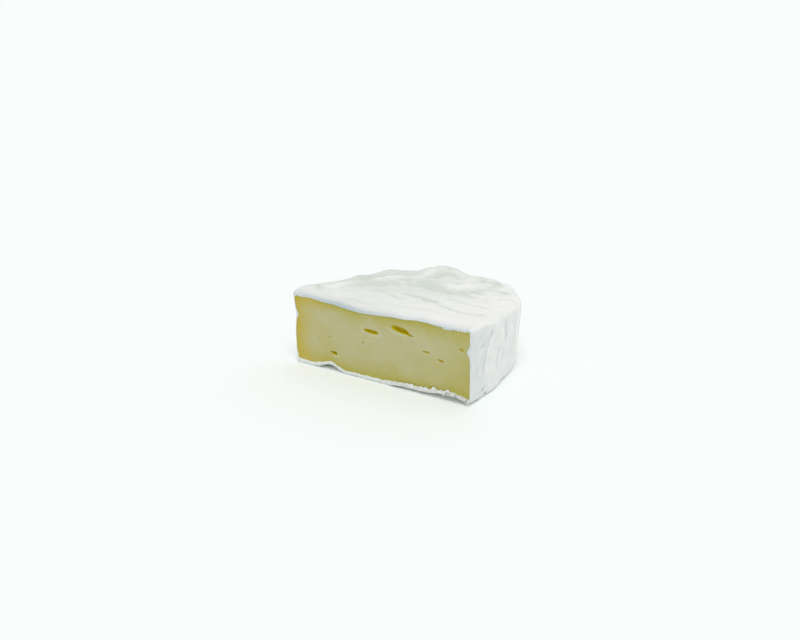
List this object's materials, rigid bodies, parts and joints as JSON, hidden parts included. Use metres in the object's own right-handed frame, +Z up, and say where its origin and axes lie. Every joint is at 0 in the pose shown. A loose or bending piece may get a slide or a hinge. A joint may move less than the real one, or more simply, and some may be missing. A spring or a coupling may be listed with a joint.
{
  "type": "camembert half",
  "caption": "Half of an oval white-rind soft cheese, cut straight across, with an even pale yellow paste, a few flattened eyes and a soft wrinkled rind, lying on its base.",
  "frame": {"origin": "middle of the outer box, at the level of the flat underside", "axes": "+X along the cut face, +Y from the cut face to the rounded end, +Z up out of the base"},
  "size_m": [0.1058, 0.0836, 0.0399],
  "materials": {
    "rind": "soft matt white bloom with fine streaks and folds",
    "paste": "smooth pale yellow cut paste, slightly moist, deeper yellow under the rind"
  },
  "bodies": {
    "root": {"camembert_half": "rind"}
  },
  "joints": []
}
